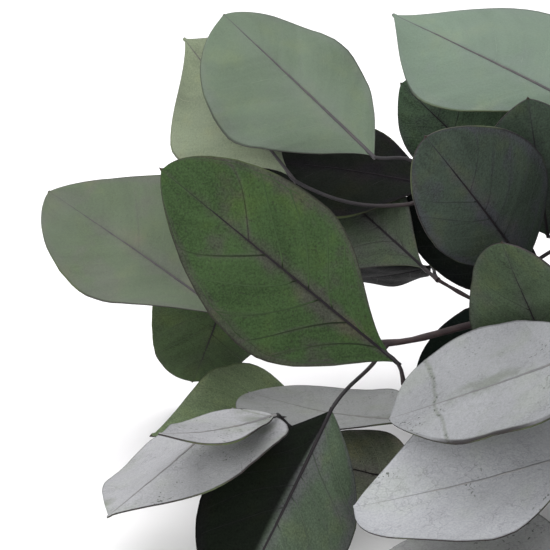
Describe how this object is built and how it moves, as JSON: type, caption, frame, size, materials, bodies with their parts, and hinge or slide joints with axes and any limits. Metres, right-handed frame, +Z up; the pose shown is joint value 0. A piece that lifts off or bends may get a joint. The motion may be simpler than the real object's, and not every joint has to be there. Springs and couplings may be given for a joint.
{
  "type": "dried eucalyptus bunch",
  "caption": "Bunch of dried eucalyptus lying down: leafy stems with broad grey-green leaves, tied with twine above the cut ends.",
  "frame": {"origin": "middle of the footprint, on the surface the bunch lies on", "axes": "+X from the leaf tips to the cut stem ends, +Y to the back of the bunch as pictured, +Z up"},
  "size_m": [0.4636, 0.211, 0.116],
  "materials": {
    "foliage_green": "dry matt leaf, grey-green",
    "foliage_grey": "dry matt leaf with a pale bloom",
    "foliage_silver": "dry matt leaf, silver-grey underside",
    "twine": "rough jute"
  },
  "bodies": {
    "root": {"stem_1": "foliage_green", "stem_2": "foliage_green", "stem_3": "foliage_green", "stem_4": "foliage_grey", "stem_5": "foliage_grey", "stem_6": "foliage_silver", "stem_7": "foliage_grey", "tie": "twine"}
  },
  "joints": []
}
